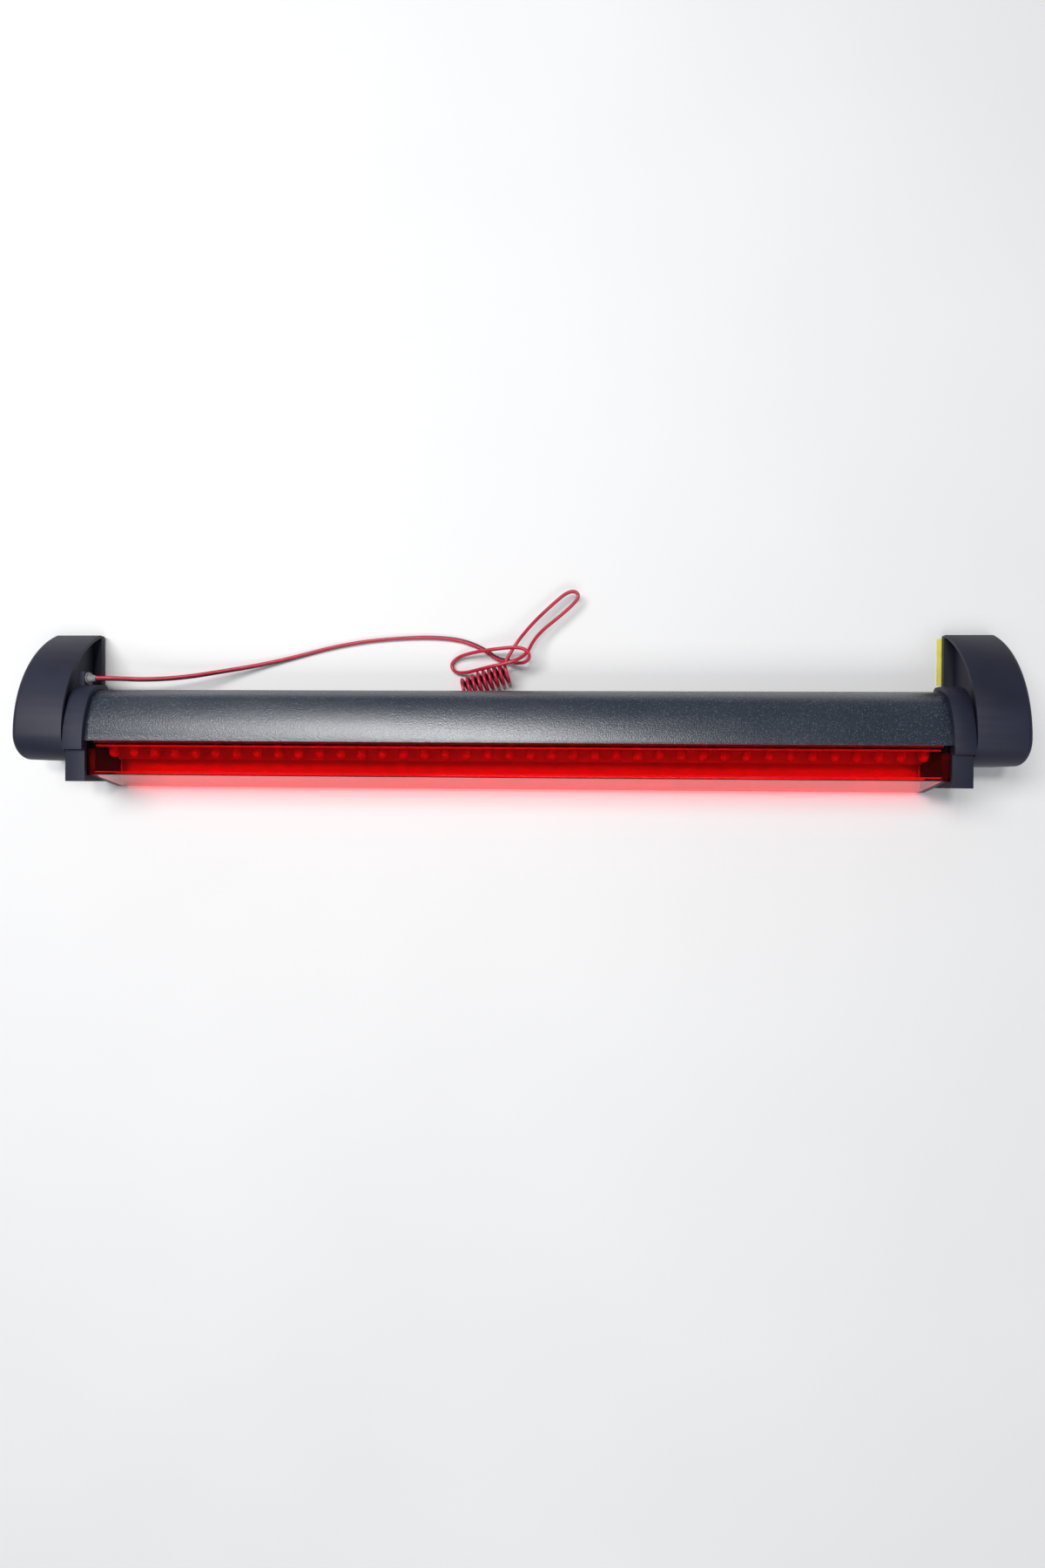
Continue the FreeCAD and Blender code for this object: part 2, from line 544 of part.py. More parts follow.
def make_foot(side, name):
    shell = prism(foot_outline(0.0, RIM_Z), FOOT_X, OUTER_X)
    rounded = []
    for edge in shell.Edges:
        box = edge.BoundBox
        if box.XMin > OUTER_X - 1e-6 and box.ZMax > RIM_Z + 1e-3:
            rounded.append(edge)
    shell = shell.makeFillet(FOOT_OUTER_R, rounded)
    inner = prism(foot_outline(FOOT_WALL, RIM_Z), FOOT_X + FOOT_SIDE_WALL, OUTER_X - FOOT_WALL)
    shell = shell.cut(inner)
    recess = prism(foot_outline(FOOT_LIP, RIM_Z + FOOT_RECESS_BASE), FOOT_X, FOOT_X + FOOT_LIP_DEPTH)
    boss = rod_x(PIVOT_BOSS_R, FOOT_X, FOOT_X + FOOT_LIP_DEPTH, PIVOT_Y, PIVOT_Z)
    shell = shell.cut(recess.cut(boss))
    shell = shell.cut(rod_x(SHOULDER_R + RUNNING_GAP, FOOT_X, FOOT_X + FOOT_SIDE_WALL, PIVOT_Y, PIVOT_Z))
    shell = shell.cut(rod_x(PLUG_R + FIT, OUTER_X - FOOT_WALL, OUTER_X, PIVOT_Y, PIVOT_Z))
    post_x = (FOOT_X + OUTER_X) / 2
    plate_top = RIM_Z + PLATE_T
    for y in PLATE_SCREW_Y:
        post = rod_z(POST_R, plate_top, FOOT_TOP, post_x, y)
        keep = prism(foot_outline(FOOT_WALL / 2, RIM_Z), FOOT_X, OUTER_X)
        shell = shell.fuse(post.common(keep))
        shell = shell.cut(rod_z(PLATE_SCREW_R, plate_top, plate_top + PLATE_SCREW_L, post_x, y))
    save(name + "_foot_shell", mirrored(shell, side))

    plug = rod_x(PLUG_R, OUTER_X - PLUG_T, OUTER_X, PIVOT_Y, PIVOT_Z)
    save(name + "_screw_plug", mirrored(plug, side))

    plate_gap = FOOT_WALL + FIT
    plate = prism(foot_outline(plate_gap, RIM_Z), FOOT_X + FOOT_SIDE_WALL + FIT, OUTER_X - plate_gap)
    plate = plate.common(block(0, OVERALL_LENGTH, -OVERALL_LENGTH, OVERALL_LENGTH, RIM_Z, plate_top - SEAT))
    screws = []
    for y in PLATE_SCREW_Y:
        plate = plate.cut(rod_z(PLATE_SCREW_R + FIT, RIM_Z, plate_top, post_x, y))
        head_top = RIM_Z + PLATE_SCREW_HEAD_T
        plate = plate.cut(rod_z(PLATE_SCREW_HEAD_R + FIT, RIM_Z, head_top + SEAT, post_x, y))
        head = rod_z(PLATE_SCREW_HEAD_R, RIM_Z, head_top, post_x, y)
        head = head.cut(block(post_x - 1.8, post_x + 1.8, y - 0.3, y + 0.3, RIM_Z, RIM_Z + 0.5))
        shank = rod_z(PLATE_SCREW_R - SEAT, RIM_Z + 0.6, plate_top + PLATE_SCREW_L - 0.5, post_x, y)
        screws.append(head.fuse(shank))
    save(name + "_base_plate", mirrored(plate, side))
    save(name + "_plate_screws", mirrored(Part.makeCompound(screws), side))

    x0 = FOOT_X + FOAM_INSET
    x1 = OUTER_X - FOAM_INSET
    y0 = FOOT_FRONT + FOOT_TOE_R
    y1 = FOOT_BACK - FOAM_INSET
    save(name + "_foam_pad", mirrored(block(x0, x1, y0, y1, LINER_T, RIM_Z), side))
    liner = block(x0, x1, y0, y1, 0.0, LINER_T)
    if side > 0:
        liner = liner.fuse(block(FOOT_X - LINER_OVERHANG, x0, LINER_TAB_FRONT, y1, 0.0, LINER_T))
    save(name + "_adhesive_liner", mirrored(liner, side))


# ---- lead ----
GROMMET_TIP_X = -(CAP_X - OUTLET_L - GROMMET_FLANGE_T - GROMMET_TAPER)
LEAD_FLOOR = LEAD_D / 2 + SEAT

LEAD_RUN = [
    (GROMMET_TIP_X, OUTLET_Y, OUTLET_Z),
    (-198.5, 13.7, 21.4),
    (-184.0, 13.3, 18.6),
    (-166.5, 15.2, 13.2),
    (-149.0, 19.1, 7.4),
    (-131.0, 22.9, 3.2),
    (-112.5, 27.5, LEAD_FLOOR),
    (-94.5, 32.3, LEAD_FLOOR),
    (-76.4, 35.6, LEAD_FLOOR),
    (-58.0, 37.3, LEAD_FLOOR),
    (-40.0, 37.7, LEAD_FLOOR),
    (-25.0, 35.9, LEAD_FLOOR),
    (-14.0, 31.0, LEAD_FLOOR),
    (-8.0, 26.2, LEAD_FLOOR + 0.2),
]

LEAD_TAIL = [
    (WRAP_TO[0], WRAP_TO[1], 4.4),
    (-32.6, 6.5, 3.9),
    (-39.5, 4.7, 2.3),
    (-47.5, 4.9, LEAD_FLOOR),
    (-54.5, 5.9, LEAD_FLOOR),
]

SMALL_LOOP = ((-26.6, 23.0), (2.6, 25.4))
SMALL_LOOP_Z = (0.0, 4.9)
BIG_LOOP = ((4.0, 32.2), (29.2, 56.0))
BIG_LOOP_Z = (4.9, 7.4)
LOOP_R = 4.6                # radius of a loop's folds, to the lead's middle
BIG_LOOP_R = 4.0
BARE_R = 0.4
BARE_L = 6.0


def tube(name, points, diameter):
    """A round cord: straight runs joined by arcs, each as large as its two runs allow."""
    spots = [vec(*p) for p in points]
    edges = []
    radii = []
    at = spots[0]
    for before, corner, after in zip(spots, spots[1:], spots[2:]):
        to_in = before.sub(corner)
        to_out = after.sub(corner)
        shorter = min(to_in.Length, to_out.Length)
        to_in.normalize()
        to_out.normalize()
        half_turn = (math.pi - to_in.getAngle(to_out)) / 2
        tangent = 0.45 * shorter
        radius = tangent / math.tan(half_turn)
        radii.append(radius)
        a = corner.add(vec(*to_in).multiply(tangent))
        b = corner.add(vec(*to_out).multiply(tangent))
        inward = to_in.add(to_out)
        inward.normalize()
        depth = radius / math.cos(half_turn) - radius
        edges.append(line(at, a))
        edges.append(arc(a, corner.add(inward.multiply(depth)), b))
        at = b
    edges.append(line(at, spots[-1]))
    path = Part.Wire(edges)
    start = Part.Circle(spots[0], spots[1].sub(spots[0]), diameter / 2).toShape()
    solid = path.makePipeShell([Part.Wire([start])], True, False)
    wanted = math.pi * (diameter / 2) ** 2 * path.Length
    print(name, "length", round(path.Length, 1), "volume ratio", round(solid.Volume / wanted, 4))
    print("  radii", [round(r, 1) for r in radii])
    save(name, solid)


def ring(ends, radius, heights):
    """A flat loop of the lead: a slot-shaped ring round two end centres."""
    (ax, ay), (bx, by) = ends
    length = math.hypot(bx - ax, by - ay)
    angle = math.degrees(math.atan2(by - ay, bx - ax))
    low, high = heights
    solids = []
    for r in (radius + LEAD_D / 2, radius - LEAD_D / 2):
        slot = Part.makeBox(length, 2 * r, high - low, vec(0, -r, low))
        slot = slot.fuse(rod_z(r, low, high, 0, 0)).fuse(rod_z(r, low, high, length, 0))
        solids.append(slot)
    loop = solids[0].cut(solids[1])
    loop.rotate(vec(0, 0, 0), vec(0, 0, 1), angle)
    loop.translate(vec(ax, ay, 0))
    return loop


def make_lead():
    tube("lead_run", LEAD_RUN, LEAD_D)
    tube("lead_tail", LEAD_TAIL, LEAD_D)
    save("lead_small_loop", ring(SMALL_LOOP, LOOP_R, SMALL_LOOP_Z))
    save("lead_big_loop", ring(BIG_LOOP, BIG_LOOP_R, BIG_LOOP_Z))
    start = vec(*WRAP_FROM)
    along = vec(*WRAP_TO).sub(start)
    hank = Part.makeCylinder(WRAP_R, along.Length, start, along)
    rims = [e for e in hank.Edges if isinstance(e.Curve, Part.Circle)]
    save("lead_wraps", hank.makeFillet(WRAP_EDGE_R, rims))
    end = vec(*LEAD_TAIL[-1])
    heading = end.sub(vec(*LEAD_TAIL[-2]))
    heading.normalize()
    across = vec(-heading.y, heading.x, 0).multiply(LEAD_D / 4)
    tips = [Part.makeCylinder(BARE_R, BARE_L, end.add(across), heading)]
    tips.append(Part.makeCylinder(BARE_R, BARE_L, end.sub(across), heading))
    save("lead_bare_ends", Part.makeCompound(tips))


def make_grommet():
    tip = -GROMMET_TIP_X
    taper_x = tip + GROMMET_TAPER
    flange_x = taper_x + GROMMET_FLANGE_T
    taper = Part.makeCone(LEAD_D / 2, LEAD_D, GROMMET_TAPER, vec(tip, OUTLET_Y, OUTLET_Z), vec(1, 0, 0))
    flange = rod_x(GROMMET_FLANGE_R, taper_x, flange_x, OUTLET_Y, OUTLET_Z)
    plug = rod_x(GROMMET_PLUG_R, flange_x, flange_x + GROMMET_PLUG_L, OUTLET_Y, OUTLET_Z)
    save("cable_grommet", mirrored(taper.fuse(flange).fuse(plug), -1))


def make_inner_leads():
    """Two short wires from the board's left end to the entry of the cable duct."""
    back = BOARD_FRONT + BOARD_T
    wires = []
    for offset in (-0.5, 0.5):
        z_end = OUTLET_Z + 2 * offset * WIRE_R
        z_start = LED_Z + INNER_LEAD_SPREAD * offset
        start = vec(-BOARD_HALF + 6.0, back, z_start)
        bend_1 = vec(-BOARD_HALF + 6.0, DUCT_Y, z_start)
        bend_2 = vec(-BOARD_HALF, DUCT_Y, z_end)
        end = vec(-CAP_FLOOR_X - 1.0, DUCT_Y, z_end)
        pieces = []
        for a, b in ((start, bend_1), (bend_1, bend_2), (bend_2, end)):
            pieces.append(Part.makeCylinder(WIRE_R * 0.95, b.sub(a).Length, a, b.sub(a)))
        wire = pieces[0].fuse(pieces[1]).fuse(pieces[2])
        for joint in (bend_1, bend_2):
            wire = wire.fuse(Part.makeSphere(WIRE_R * 0.95, joint))
        wires.append(wire)
    save("inner_leads", Part.makeCompound(wires))


make_hood()
make_tray()
make_lens()
make_board()
make_reflector()
make_clips()
for end_side, end_name in ((-1, "left"), (1, "right")):
    make_end(end_side, end_name)
    make_pivot(end_side, end_name)
    make_foot(end_side, end_name)
make_grommet()
make_inner_leads()
make_lead()

for node, shape in NODES.items():
    if not shape.isValid():
        print("NOT VALID", node)
print(len(NODES), "nodes")
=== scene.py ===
import json
import math

import bmesh
import bpy
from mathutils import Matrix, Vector


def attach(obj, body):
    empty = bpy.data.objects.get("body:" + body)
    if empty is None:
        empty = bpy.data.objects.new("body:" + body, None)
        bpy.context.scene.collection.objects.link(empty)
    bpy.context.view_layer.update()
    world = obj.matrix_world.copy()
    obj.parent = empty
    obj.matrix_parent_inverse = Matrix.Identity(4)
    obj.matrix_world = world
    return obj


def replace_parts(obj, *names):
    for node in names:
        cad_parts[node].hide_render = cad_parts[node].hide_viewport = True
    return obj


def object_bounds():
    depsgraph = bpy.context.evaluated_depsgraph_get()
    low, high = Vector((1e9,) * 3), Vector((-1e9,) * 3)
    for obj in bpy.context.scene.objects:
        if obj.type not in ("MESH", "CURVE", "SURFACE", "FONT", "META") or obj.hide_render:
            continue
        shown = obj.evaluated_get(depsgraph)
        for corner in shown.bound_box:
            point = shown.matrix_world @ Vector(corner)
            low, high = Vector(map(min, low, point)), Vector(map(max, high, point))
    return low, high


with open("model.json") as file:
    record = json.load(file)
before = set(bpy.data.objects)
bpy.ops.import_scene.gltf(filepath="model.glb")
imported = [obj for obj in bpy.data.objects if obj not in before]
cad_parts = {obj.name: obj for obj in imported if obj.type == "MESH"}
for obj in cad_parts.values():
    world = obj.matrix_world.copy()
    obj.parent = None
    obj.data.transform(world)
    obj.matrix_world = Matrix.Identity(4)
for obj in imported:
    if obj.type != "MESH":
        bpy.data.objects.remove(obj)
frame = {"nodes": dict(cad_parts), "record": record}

CAD_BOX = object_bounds()
MM = 0.001
LAMP, LEFT, RIGHT = "lamp_bar", "left_foot", "right_foot"
SIDES = (("left", LEFT), ("right", RIGHT))


# ---- camera ----
def make_camera():
    """Almost straight down over the lamp's front edge, a little right of its middle."""
    data = bpy.data.cameras.new("camera")
    data.sensor_width = 36.0
    data.lens = 19.42
    data.clip_start = 0.01
    camera = bpy.data.objects.new("camera", data)
    camera.location = (0.0272, -0.0349, 0.4352)
    camera.rotation_euler = [math.radians(a) for a in (-0.19, 2.86, 0.46)]
    bpy.context.collection.objects.link(camera)
    bpy.context.scene.camera = camera


make_camera()


# ---- materials ----
class Nodes:
    """A Principled material with short helpers for its procedural nodes."""

    def __init__(self, name, **values):
        self.material = bpy.data.materials.new(name)
        self.material.use_nodes = True
        self.tree = self.material.node_tree
        self.shader = self.tree.nodes["Principled BSDF"]
        for key, value in values.items():
            self.shader.inputs[key.replace("_", " ")].default_value = value
        self.place = self.tree.nodes.new("ShaderNodeTexCoord").outputs["Object"]

    def link(self, out, to):
        self.tree.links.new(out, to)

    def stretched(self, scale):
        node = self.tree.nodes.new("ShaderNodeMapping")
        node.inputs["Scale"].default_value = scale
        self.link(self.place, node.inputs["Vector"])
        return node.outputs["Vector"]

    def noise(self, scale, detail=3.0, rough=0.55, vector=None):
        node = self.tree.nodes.new("ShaderNodeTexNoise")
        node.inputs["Scale"].default_value = scale
        node.inputs["Detail"].default_value = detail
        node.inputs["Roughness"].default_value = rough
        self.link(vector or self.place, node.inputs["Vector"])
        return node.outputs["Fac"]

    def cells(self, scale):
        node = self.tree.nodes.new("ShaderNodeTexVoronoi")
        node.inputs["Scale"].default_value = scale
        self.link(self.place, node.inputs["Vector"])
        return node.outputs["Distance"]

    def ramp(self, fac, stops):
        node = self.tree.nodes.new("ShaderNodeValToRGB")
        while len(node.color_ramp.elements) < len(stops):
            node.color_ramp.elements.new(0.5)
        for element, (at, colour) in zip(node.color_ramp.elements, stops):
            element.position = at
            element.color = (*colour, 1.0)
        self.link(fac, node.inputs["Fac"])
        return node.outputs["Color"]

    def spread(self, fac, low, high, start=0.3, end=0.7):
        node = self.tree.nodes.new("ShaderNodeMapRange")
        for key, value in (("From Min", start), ("From Max", end), ("To Min", low), ("To Max", high)):
            node.inputs[key].default_value = value
        self.link(fac, node.inputs["Value"])
        return node.outputs["Result"]

    def bump(self, height, strength, distance, under=None):
        node = self.tree.nodes.new("ShaderNodeBump")
        node.inputs["Strength"].default_value = strength
        node.inputs["Distance"].default_value = distance
        self.link(height, node.inputs["Height"])
        if under:
            self.link(under, node.inputs["Normal"])
        return node.outputs["Normal"]

    def colour(self, out):
        self.link(out, self.shader.inputs["Base Color"])

    def rough(self, out):
        self.link(out, self.shader.inputs["Roughness"])

    def normal(self, out):
        self.link(out, self.shader.inputs["Normal"])


def satin_hood():
    """Blue-black satin coat with a fine bright metallic grain."""
    m = Nodes("satin_hood", IOR=2.1)
    grain = m.noise(1400.0, 2.0, 0.7)
    cloud = m.noise(22.0, 2.0)
    m.colour(m.ramp(grain, [(0.42, (0.005, 0.01, 0.022)), (0.56, (0.01, 0.018, 0.036)),
                            (0.7, (0.09, 0.11, 0.14))]))
    m.rough(m.spread(cloud, 0.3, 0.36))
    m.normal(m.bump(grain, 0.5, 0.0003))
    return m.material


def moulded_black(name, base, scale):
    """Matte moulded plastic: a fine spark-eroded grain, slightly uneven gloss."""
    m = Nodes(name, IOR=1.46)
    grain = m.noise(scale, 4.0, 0.6)
    patches = m.noise(35.0, 3.0)
    light = tuple(c * 1.7 for c in base)
    m.colour(m.ramp(patches, [(0.3, base), (0.72, light)]))
    m.rough(m.spread(patches, 0.5, 0.62))
    m.normal(m.bump(grain, 0.35, 0.00008))
    return m.material


def red_lens():
    """Clear red acrylic with faint flow lines along its length."""
    m = Nodes("red_lens", IOR=1.25, Transmission_Weight=1.0)
    flow = m.noise(60.0, 2.0, vector=m.stretched((0.15, 1.0, 1.0)))
    m.colour(m.ramp(flow, [(0.3, (0.72, 0.004, 0.008)), (0.7, (0.78, 0.008, 0.016))]))
    m.rough(m.spread(flow, 0.02, 0.06))
    m.normal(m.bump(flow, 0.03, 0.0001))
    lets_light_through(m, (0.97, 0.45, 0.5, 1.0))
    return m.material


def lets_light_through(m, tint):
    """Rays from the lamps pass a clear piece with its tint, so that what is behind it is lit."""
    clear = m.tree.nodes.new("ShaderNodeBsdfTransparent")
    clear.inputs["Color"].default_value = tint
    path = m.tree.nodes.new("ShaderNodeLightPath")
    mix = m.tree.nodes.new("ShaderNodeMixShader")
    m.link(path.outputs["Is Shadow Ray"], mix.inputs["Fac"])
    m.link(m.shader.outputs["BSDF"], mix.inputs[1])
    m.link(clear.outputs["BSDF"], mix.inputs[2])
    m.link(mix.outputs["Shader"], m.tree.nodes["Material Output"].inputs["Surface"])


def speckled(name, dark, light, scale, rough, bump=0.2, **values):
    """A plain moulded or coated finish with small colour and gloss changes."""
    m = Nodes(name, **values)
    spots = m.noise(scale, 3.0)
    m.colour(m.ramp(spots, [(0.35, dark), (0.68, light)]))
    m.rough(m.spread(spots, rough[0], rough[1]))
    m.normal(m.bump(spots, bump, 0.0001))
    return m.material


def brushed(name, dark, light, rough=(0.22, 0.38)):
    m = Nodes(name, Metallic=1.0)
    lines = m.noise(900.0, 2.0, vector=m.stretched((0.2, 1.0, 1.0)))
    m.colour(m.ramp(lines, [(0.3, dark), (0.7, light)]))
    m.rough(m.spread(lines, rough[0], rough[1]))
    m.normal(m.bump(lines, 0.15, 0.00005))
    return m.material


def foam():
    m = Nodes("foam", IOR=1.4)
    pores = m.cells(1400.0)
    m.colour(m.ramp(pores, [(0.1, (0.01, 0.01, 0.012)), (0.5, (0.05, 0.05, 0.055))]))
    m.rough(m.spread(pores, 0.95, 0.75, 0.1, 0.5))
    m.normal(m.bump(pores, 0.8, 0.0003))
    return m.material


MATERIALS = {
    "satin_hood": satin_hood(),
    "black_plastic": moulded_black("black_plastic", (0.009, 0.0095, 0.023), 1500.0),
    "red_lens": red_lens(),
    "board_green": speckled("board_green", (0.4, 0.4, 0.4), (0.6, 0.6, 0.6), 300.0, (0.3, 0.45)),
    "led_red": speckled("led_red", (0.5, 0.06, 0.07), (0.62, 0.1, 0.11), 500.0, (0.05, 0.1), 0.05,
                        Coat_Weight=1.0, IOR=1.5),
    "inner_plastic": speckled("inner_plastic", (0.42, 0.42, 0.42), (0.55, 0.55, 0.55), 200.0, (0.25, 0.4)),
    "component_body": speckled("component_body", (0.45, 0.35, 0.2), (0.6, 0.5, 0.32), 700.0, (0.35, 0.5)),
    "solder": brushed("solder", (0.6, 0.6, 0.62), (0.8, 0.8, 0.8)),
    "seal_rubber": speckled("seal_rubber", (0.01, 0.01, 0.01), (0.03, 0.03, 0.03), 900.0, (0.7, 0.85)),
    "grommet_grey": speckled("grommet_grey", (0.16, 0.16, 0.17), (0.3, 0.3, 0.31), 900.0, (0.5, 0.65)),
    "brass": brushed("brass", (0.5, 0.33, 0.12), (0.75, 0.56, 0.27)),
    "bare_copper": brushed("bare_copper", (0.6, 0.25, 0.12), (0.85, 0.45, 0.28)),
    "steel": brushed("steel", (0.42, 0.43, 0.45), (0.68, 0.68, 0.7)),
    "foam": foam(),
    "yellow_liner": speckled("yellow_liner", (0.78, 0.7, 0.06), (0.9, 0.83, 0.16), 120.0, (0.35, 0.5)),
    "lead_red": speckled("lead_red", (0.5, 0.005, 0.035), (0.66, 0.01, 0.055), 240.0, (0.28, 0.42), 0.1,
                         Coat_Weight=0.2),
    "lead_black": speckled("lead_black", (0.014, 0.004, 0.006), (0.04, 0.012, 0.016), 240.0,
                           (0.3, 0.45), 0.1),
}


def paint(obj, material):
    obj.data.materials.clear()
    obj.data.materials.append(MATERIALS[material])


def paint_frame():
    """Every carried-over CAD node gets the procedural material of its slot."""
    for part in frame["record"]["subparts"]:
        paint(frame["nodes"][part["node"]], part["material_slot"])


paint_frame()
SLOTS = {part["node"]: part["material_slot"] for part in frame["record"]["subparts"]}


def new_piece(name, bm, material, body, smooth_deg=None):
    mesh = bpy.data.meshes.new(name)
    bm.to_mesh(mesh)
    bm.free()
    piece = bpy.data.objects.new(name, mesh)
    bpy.context.collection.objects.link(piece)
    if smooth_deg is not None:
        mesh.shade_smooth()
        mesh.set_sharp_from_angle(angle=math.radians(smooth_deg))
    mesh.materials.append(MATERIALS[material])
    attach(piece, body)
    return piece


# ---- lead: one red and black twin, from the grommet to the hank and its bare end ----
STEPS = 8                   # points read along each piece of the spline
CORE_R = 0.85
CORE_STEP = 0.4             # from the lead's middle to each core's middle
CORE_SIDES = 10
RED_START_DEG = 25.0        # how far the red core is turned up from the back at the grommet
RED_TURN_DEG = 150.0        # how far it turns over along the run
RED_PACE = 1.3              # over 1, so that it turns faster towards the hank
RED_SMOOTHING = 6           # points on each side that the direction is evened over
WRAP_TURNS = 8
WRAP_LEAD_IN_DEG = 60.0     # turned before the coil's top at its start
WRAP_RUN_OUT_DEG = 90.0     # turned past its top after the last whole turn
TURN_POINTS = 12
WRAP_R = 5.02               # the spline's points stand a little outside the turns
WRAP_START = (-2.6, 18.7, 6.25)
WRAP_ALONG = (-0.927, -0.374)
WRAP_PITCH = 2.9
CENTRING = 1.2              # the lamp's pieces stand this far behind the section's own datum
RUN = [
    (-207.9, 13.6, 22.0), (-198.5, 13.7, 21.4), (-184.0, 13.3, 18.6), (-166.5, 15.2, 13.2),
    (-149.0, 19.1, 7.4), (-131.0, 22.9, 3.2), (-112.5, 27.5, 1.3), (-94.5, 32.3, 1.3),
    (-76.4, 35.6, 1.3), (-58.0, 37.3, 1.3), (-40.0, 37.7, 1.3), (-25.0, 35.9, 1.3),
    (-14.0, 31.0, 1.3), (-8.0, 26.2, 1.6),
]
SMALL_LOOP = [
    (-1.5, 24.6, 5.6), (5.0, 22.8, 9.6), (9.4, 25.0, 11.6), (8.2, 29.4, 12.0),
    (2.5, 31.0, 11.6), (-5.0, 30.6, 10.0), (-13.0, 30.0, 7.6), (-21.0, 29.0, 5.0),
    (-28.0, 27.2, 2.6), (-32.0, 23.6, 1.5), (-30.0, 19.4, 1.7), (-24.0, 18.8, 4.6),
    (-17.0, 19.9, 8.8), (-10.0, 21.1, 12.6), (-3.0, 22.3, 14.2), (4.0, 24.6, 13.6),
    (8.4, 28.8, 11.2),
]
BIG_LOOP = [
    (10.4, 34.0, 8.6), (14.8, 39.6, 7.4), (20.2, 44.2, 6.8), (25.8, 48.8, 6.6),
    (31.0, 53.6, 6.4), (34.0, 57.6, 6.2), (31.4, 60.3, 6.2), (27.0, 59.0, 6.3),
    (22.2, 55.0, 6.4), (16.8, 50.0, 6.8), (11.2, 44.4, 7.6), (6.0, 38.2, 8.8), (1.4, 31.8, 10.0),
]
TAIL = [
    (-22.6, 5.2, 3.4), (-26.2, 4.2, 1.3), (-32.6, 4.6, 1.3), (-39.5, 4.9, 1.3),
    (-47.5, 5.1, 1.3), (-54.5, 5.9, 1.3),
]


def wrap_points():
    """The turns round the hank: a coil about the line from WRAP_START, starting on its back upper side."""
    along = Vector((*WRAP_ALONG, 0.0)).normalized()
    front = Vector((along.y, -along.x, 0.0))
    if front.y > 0:
        front.negate()
    up = Vector((0.0, 0.0, 1.0))
    points = []
    first = -math.radians(WRAP_LEAD_IN_DEG)
    last = math.radians(360.0 * WRAP_TURNS + WRAP_RUN_OUT_DEG)
    steps = int(round((last - first) / math.radians(360.0 / TURN_POINTS)))
    for i in range(steps + 1):
        angle = first + (last - first) * i / steps
        middle = Vector(WRAP_START) + along * (WRAP_PITCH * angle / math.tau)
        points.append(tuple(middle + front * (WRAP_R * math.sin(angle)) + up * (WRAP_R * math.cos(angle))))
    return points


def route_points():
    """Points read along the lead's smooth line, a NURBS spline with the route as its control points."""
    controls = RUN + SMALL_LOOP + BIG_LOOP + wrap_points() + TAIL
    curve = bpy.data.curves.new("lead_route", "CURVE")
    curve.dimensions = "3D"
    curve.resolution_u = STEPS
    spline = curve.splines.new("NURBS")
    spline.points.add(len(controls) - 1)
    for point, at in zip(spline.points, controls):
        point.co = (at[0] * MM, (at[1] + CENTRING) * MM, at[2] * MM, 1.0)
    spline.order_u = 3
    spline.use_endpoint_u = True
    holder = bpy.data.objects.new("lead_route", curve)
    bpy.context.collection.objects.link(holder)
    bpy.context.view_layer.update()
    mesh = bpy.data.meshes.new_from_object(holder)
    points = [v.co.copy() for v in mesh.vertices]
    bpy.data.objects.remove(holder)
    bpy.data.meshes.remove(mesh)
    return points


def red_side(points, tangents):
    """Where the red core faces: from back to front over the run, up in the loops, outwards in the turns."""
    run_end = len(RUN) * STEPS
    turns_from = (len(RUN) + len(SMALL_LOOP) + len(BIG_LOOP)) * STEPS
    turns_to = len(points) - len(TAIL) * STEPS
    axis = Vector((*WRAP_ALONG, 0.0)).normalized()
    start = Vector((WRAP_START[0], WRAP_START[1] + CENTRING, WRAP_START[2])) * MM
    up = Vector((0.0, 0.0, 1.0))
    wanted = []
    for i, (at, tangent) in enumerate(zip(points, tangents)):
        if i < run_end:
            angle = math.radians(RED_START_DEG + RED_TURN_DEG * (i / run_end) ** RED_PACE)
            back = up.cross(tangent).normalized()
            wanted.append(back * math.cos(angle) + up * math.sin(angle))
        elif turns_from <= i < turns_to:
            away = at - start
            wanted.append((away - axis * away.dot(axis)).normalized())
        else:
            wanted.append(up.copy())
    sides = []
    for i, tangent in enumerate(tangents):
        near = wanted[max(i - RED_SMOOTHING, 0):i + RED_SMOOTHING + 1]
        middle = sum(near, Vector((0.0, 0.0, 0.0)))
        sides.append((middle - tangent * middle.dot(tangent)).normalized())
    return sides


def tangents_along(points):
    tangents = []
    for i in range(len(points)):
        ahead = points[min(i + 1, len(points) - 1)] - points[max(i - 1, 0)]
        tangents.append(ahead.normalized())
    return tangents


def carried_frames(points):
    """Tangent and side at each point, the side carried along without turning round the line."""
    tangents = tangents_along(points)
    side = tangents[0].cross(Vector((0, 0, 1))).normalized()
    sides = []
    for tangent in tangents:
        side = (side - tangent * side.dot(tangent)).normalized()
        sides.append(side.copy())
    return tangents, sides


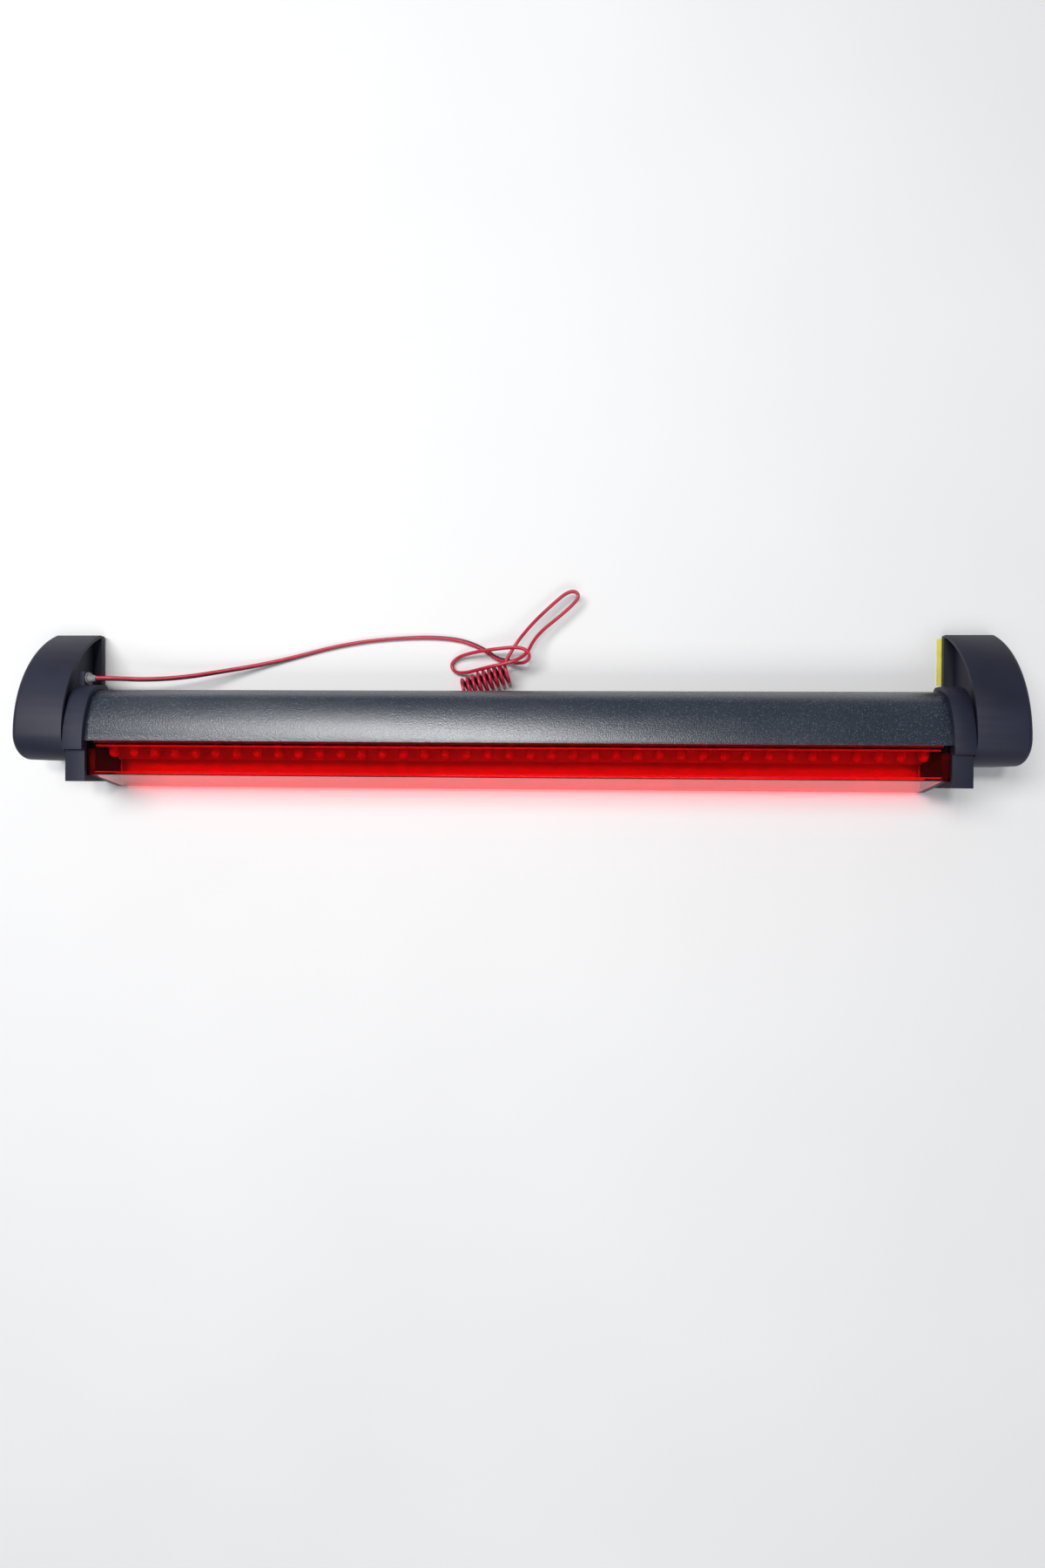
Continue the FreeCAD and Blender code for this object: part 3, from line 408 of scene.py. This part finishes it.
def make_lead():
    points = route_points()
    tangents = tangents_along(points)
    sides = red_side(points, tangents)
    bm = bmesh.new()
    for core, sign in ((0, 1), (1, -1)):
        rings = []
        for at, tangent, out in zip(points, tangents, sides):
            other = tangent.cross(out)
            middle = at + out * (sign * CORE_STEP * MM)
            ring = []
            for k in range(CORE_SIDES):
                angle = math.tau * k / CORE_SIDES
                outward = out * math.cos(angle) + other * math.sin(angle)
                ring.append(bm.verts.new(middle + outward * CORE_R * MM))
            rings.append(ring)
        for a, b in zip(rings, rings[1:]):
            for k in range(CORE_SIDES):
                n = (k + 1) % CORE_SIDES
                bm.faces.new((a[k], a[n], b[n], b[k])).material_index = core
        bm.faces.new(list(reversed(rings[0]))).material_index = core
        bm.faces.new(rings[-1]).material_index = core
    lead = new_piece("twin_lead", bm, "lead_red", LAMP, 60)
    lead.data.materials.append(MATERIALS["lead_black"])
    ends = make_bare_ends(points[-1], tangents[-1])
    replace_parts(lead, "lead_run", "lead_small_loop", "lead_big_loop", "lead_wraps", "lead_tail")


BARE_L = 5.6                # stripped length
BARE_TUCK = 0.4             # how far the copper starts inside the jacket
STRANDS = 6
STRAND_R = 0.13
STRAND_OFFSET = 0.24        # from a tip's middle to each strand's middle
STRAND_LAY = 4.0            # length over which the strands turn once
STRAND_STEPS = 14


def strand_sweep(bm, centre_line, radius, sides=6):
    tangents, frames = carried_frames(centre_line)
    rings = []
    for at, tangent, side in zip(centre_line, tangents, frames):
        other = tangent.cross(side)
        ring = []
        for k in range(sides):
            angle = math.tau * k / sides
            ring.append(bm.verts.new(at + (side * math.cos(angle) + other * math.sin(angle)) * radius))
        rings.append(ring)
    for a, b in zip(rings, rings[1:]):
        for k in range(sides):
            n = (k + 1) % sides
            bm.faces.new((a[k], a[n], b[n], b[k]))
    bm.faces.new(list(reversed(rings[0])))
    bm.faces.new(rings[-1])


def make_bare_ends(start, heading):
    """Two stripped tips of twisted copper strands."""
    across = Vector((-heading.y, heading.x, 0.0)).normalized()
    up = heading.cross(across)
    bm = bmesh.new()
    for sign in (-1, 1):
        for s in range(STRANDS):
            line = []
            for i in range(STRAND_STEPS + 1):
                along = BARE_L * MM * i / STRAND_STEPS
                angle = math.tau * (s / STRANDS + along / (STRAND_LAY * MM))
                spot = start + heading * (along - BARE_TUCK * MM) + across * (sign * CORE_STEP * MM)
                line.append(spot + (across * math.cos(angle) + up * math.sin(angle)) * STRAND_OFFSET * MM)
            strand_sweep(bm, line, STRAND_R * MM)
    ends = new_piece("bare_copper_ends", bm, "bare_copper", LAMP, 60)
    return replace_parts(ends, "lead_bare_ends")


make_lead()


# ---- housings: the CAD shapes with the small edge radii of mouldings ----
WELD_MM = 0.003             # points nearer than this are one point
FLAT_DEG = 0.6              # faces that meet at less than this are one face
EDGE_DEG = 28.0             # edges sharper than this get the radius


def softened(node, width_mm, body, segments=3, smooth=True):
    """A copy of a CAD node's surface whose sharp edges carry a small moulded radius."""
    source = frame["nodes"][node]
    bm = bmesh.new()
    bm.from_mesh(source.data)
    bmesh.ops.remove_doubles(bm, verts=bm.verts, dist=WELD_MM * MM)
    bmesh.ops.dissolve_limit(bm, angle_limit=math.radians(FLAT_DEG), verts=bm.verts, edges=bm.edges)
    bmesh.ops.recalc_face_normals(bm, faces=bm.faces)
    piece = new_piece("soft_" + node, bm, SLOTS[node], body)
    bevel = piece.modifiers.new("edge", "BEVEL")
    bevel.width = width_mm * MM
    bevel.segments = segments
    bevel.limit_method = "ANGLE"
    bevel.angle_limit = math.radians(EDGE_DEG)
    bevel.use_clamp_overlap = True
    bevel.harden_normals = smooth
    if smooth:
        piece.data.shade_smooth()
    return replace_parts(piece, node)


softened("hood", 0.25, LAMP)
softened("lens", 0.18, LAMP, 2, smooth=False)
softened("rear_tray", 0.3, LAMP)
for side_name, foot_body in SIDES:
    softened(side_name + "_end_cap", 0.5, LAMP)
    softened(side_name + "_foot_shell", 0.4, foot_body)


# ---- floor and light ----
FLOOR_REACH = 3.0
FLOOR_GAP = 0.0002          # the floor lies this far under the part


def make_floor():
    bm = bmesh.new()
    bmesh.ops.create_grid(bm, x_segments=2, y_segments=2, size=FLOOR_REACH)
    mesh = bpy.data.meshes.new("floor")
    bm.to_mesh(mesh)
    bm.free()
    floor = bpy.data.objects.new("floor", mesh)
    bpy.context.collection.objects.link(floor)
    floor.location = (0.0, 0.0, CAD_BOX[0][2] - FLOOR_GAP)
    m = Nodes("floor", IOR=1.4)
    veil = m.noise(4.0, 3.0)
    m.colour(m.ramp(veil, [(0.3, (0.88, 0.87, 0.86)), (0.7, (0.92, 0.91, 0.9))]))
    m.rough(m.spread(veil, 0.55, 0.65))
    floor.data.materials.append(m.material)


def area_light(name, at, towards, size, power, colour=(1.0, 1.0, 1.0)):
    data = bpy.data.lights.new(name, "AREA")
    data.shape = "RECTANGLE"
    data.size, data.size_y = size
    data.energy = power
    data.color = colour
    lamp = bpy.data.objects.new(name, data)
    lamp.location = at
    lamp.rotation_euler = (Vector(towards) - Vector(at)).to_track_quat("-Z", "Y").to_euler()
    bpy.context.collection.objects.link(lamp)


def make_lights():
    world = bpy.data.worlds.new("studio")
    world.use_nodes = True
    world.node_tree.nodes["Background"].inputs["Color"].default_value = (0.78, 0.87, 1.0, 1.0)
    world.node_tree.nodes["Background"].inputs["Strength"].default_value = 0.18
    bpy.context.scene.world = world
    area_light("softbox", (-0.6, 0.42, 1.25), (-0.6, 0.4199, 0.0), (0.95, 0.5), 14.0)
    area_light("overhead", (0.0, 0.22, 1.25), (0.0, 0.2199, 0.0), (0.15, 0.15), 3.5)
    area_light("front_fill", (0.25, -0.95, 1.3), (0.25, -0.9501, 0.0), (1.3, 0.8), 8.5)
    scene = bpy.context.scene
    scene.view_settings.view_transform = "Standard"
    scene.view_settings.look = "None"


make_floor()
make_lights()
